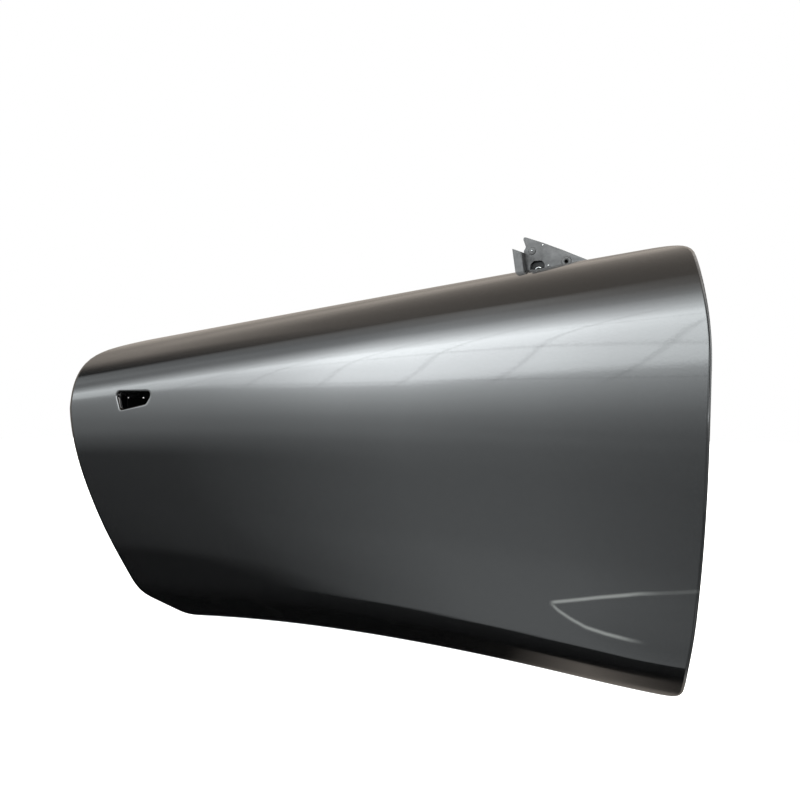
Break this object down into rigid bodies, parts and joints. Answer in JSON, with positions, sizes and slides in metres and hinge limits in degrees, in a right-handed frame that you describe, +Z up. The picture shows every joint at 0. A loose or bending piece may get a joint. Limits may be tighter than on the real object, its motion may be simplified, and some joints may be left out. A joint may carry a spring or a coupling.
{
  "type": "car door shell",
  "caption": "Pressed and welded body of a frameless car front door: outer skin, inner panel, reinforcements, side beam and mirror bracket, with hinge and latch faces.",
  "frame": {"origin": "middle of the upper hinge pad, on the outer face of the front wall", "axes": "+X forward along the car, +Y into the cabin, +Z up; the door is a right-hand front door and its outside faces -Y"},
  "size_m": [1.3037, 0.2283, 0.7273],
  "materials": {
    "outer_skin": "dark grey metallic clearcoat",
    "inner_panel": "dark grey paint",
    "outer_belt_reinforcement": "dark primer coat",
    "inner_belt_reinforcement": "dark primer coat",
    "upper_hinge_reinforcement": "dark primer coat",
    "lower_hinge_reinforcement": "dark primer coat",
    "upper_hinge_nut_plate": "zinc plated",
    "lower_hinge_nut_plate": "zinc plated",
    "check_strap_reinforcement": "dark primer coat",
    "latch_reinforcement": "dark primer coat",
    "handle_reinforcement": "dark primer coat",
    "intrusion_beam": "dark primer coat",
    "beam_bracket_front": "dark primer coat",
    "beam_bracket_rear": "dark primer coat",
    "mastic_pad_front": "matt mastic",
    "mastic_pad_middle": "matt mastic",
    "mastic_pad_rear": "matt mastic",
    "damping_pad_front": "matt bitumen sheet",
    "damping_pad_rear": "matt bitumen sheet",
    "front_glass_channel": "dark primer coat",
    "rear_glass_channel": "dark primer coat",
    "front_channel_foot": "dark primer coat",
    "rear_channel_foot": "dark primer coat",
    "front_channel_spacer": "dark primer coat",
    "rear_channel_spacer": "dark primer coat",
    "mirror_bracket": "satin dark grey coat",
    "mirror_bolt_rear": "zinc plated",
    "mirror_bolt_middle": "zinc plated",
    "mirror_bolt_front": "zinc plated",
    "pull_handle_bracket": "dark primer coat"
  },
  "bodies": {
    "root": {"outer_skin": "outer_skin", "inner_panel": "inner_panel", "outer_belt_reinforcement": "outer_belt_reinforcement", "inner_belt_reinforcement": "inner_belt_reinforcement", "upper_hinge_reinforcement": "upper_hinge_reinforcement", "lower_hinge_reinforcement": "lower_hinge_reinforcement", "upper_hinge_nut_plate": "upper_hinge_nut_plate", "lower_hinge_nut_plate": "lower_hinge_nut_plate", "check_strap_reinforcement": "check_strap_reinforcement", "latch_reinforcement": "latch_reinforcement", "handle_reinforcement": "handle_reinforcement", "intrusion_beam": "intrusion_beam", "beam_bracket_front": "beam_bracket_front", "beam_bracket_rear": "beam_bracket_rear", "mastic_pad_front": "mastic_pad_front", "mastic_pad_middle": "mastic_pad_middle", "mastic_pad_rear": "mastic_pad_rear", "damping_pad_front": "damping_pad_front", "damping_pad_rear": "damping_pad_rear", "front_glass_channel": "front_glass_channel", "rear_glass_channel": "rear_glass_channel", "front_channel_foot": "front_channel_foot", "rear_channel_foot": "rear_channel_foot", "front_channel_spacer": "front_channel_spacer", "rear_channel_spacer": "rear_channel_spacer", "mirror_bracket": "mirror_bracket", "mirror_bolt_rear": "mirror_bolt_rear", "mirror_bolt_middle": "mirror_bolt_middle", "mirror_bolt_front": "mirror_bolt_front", "pull_handle_bracket": "pull_handle_bracket"}
  },
  "joints": []
}
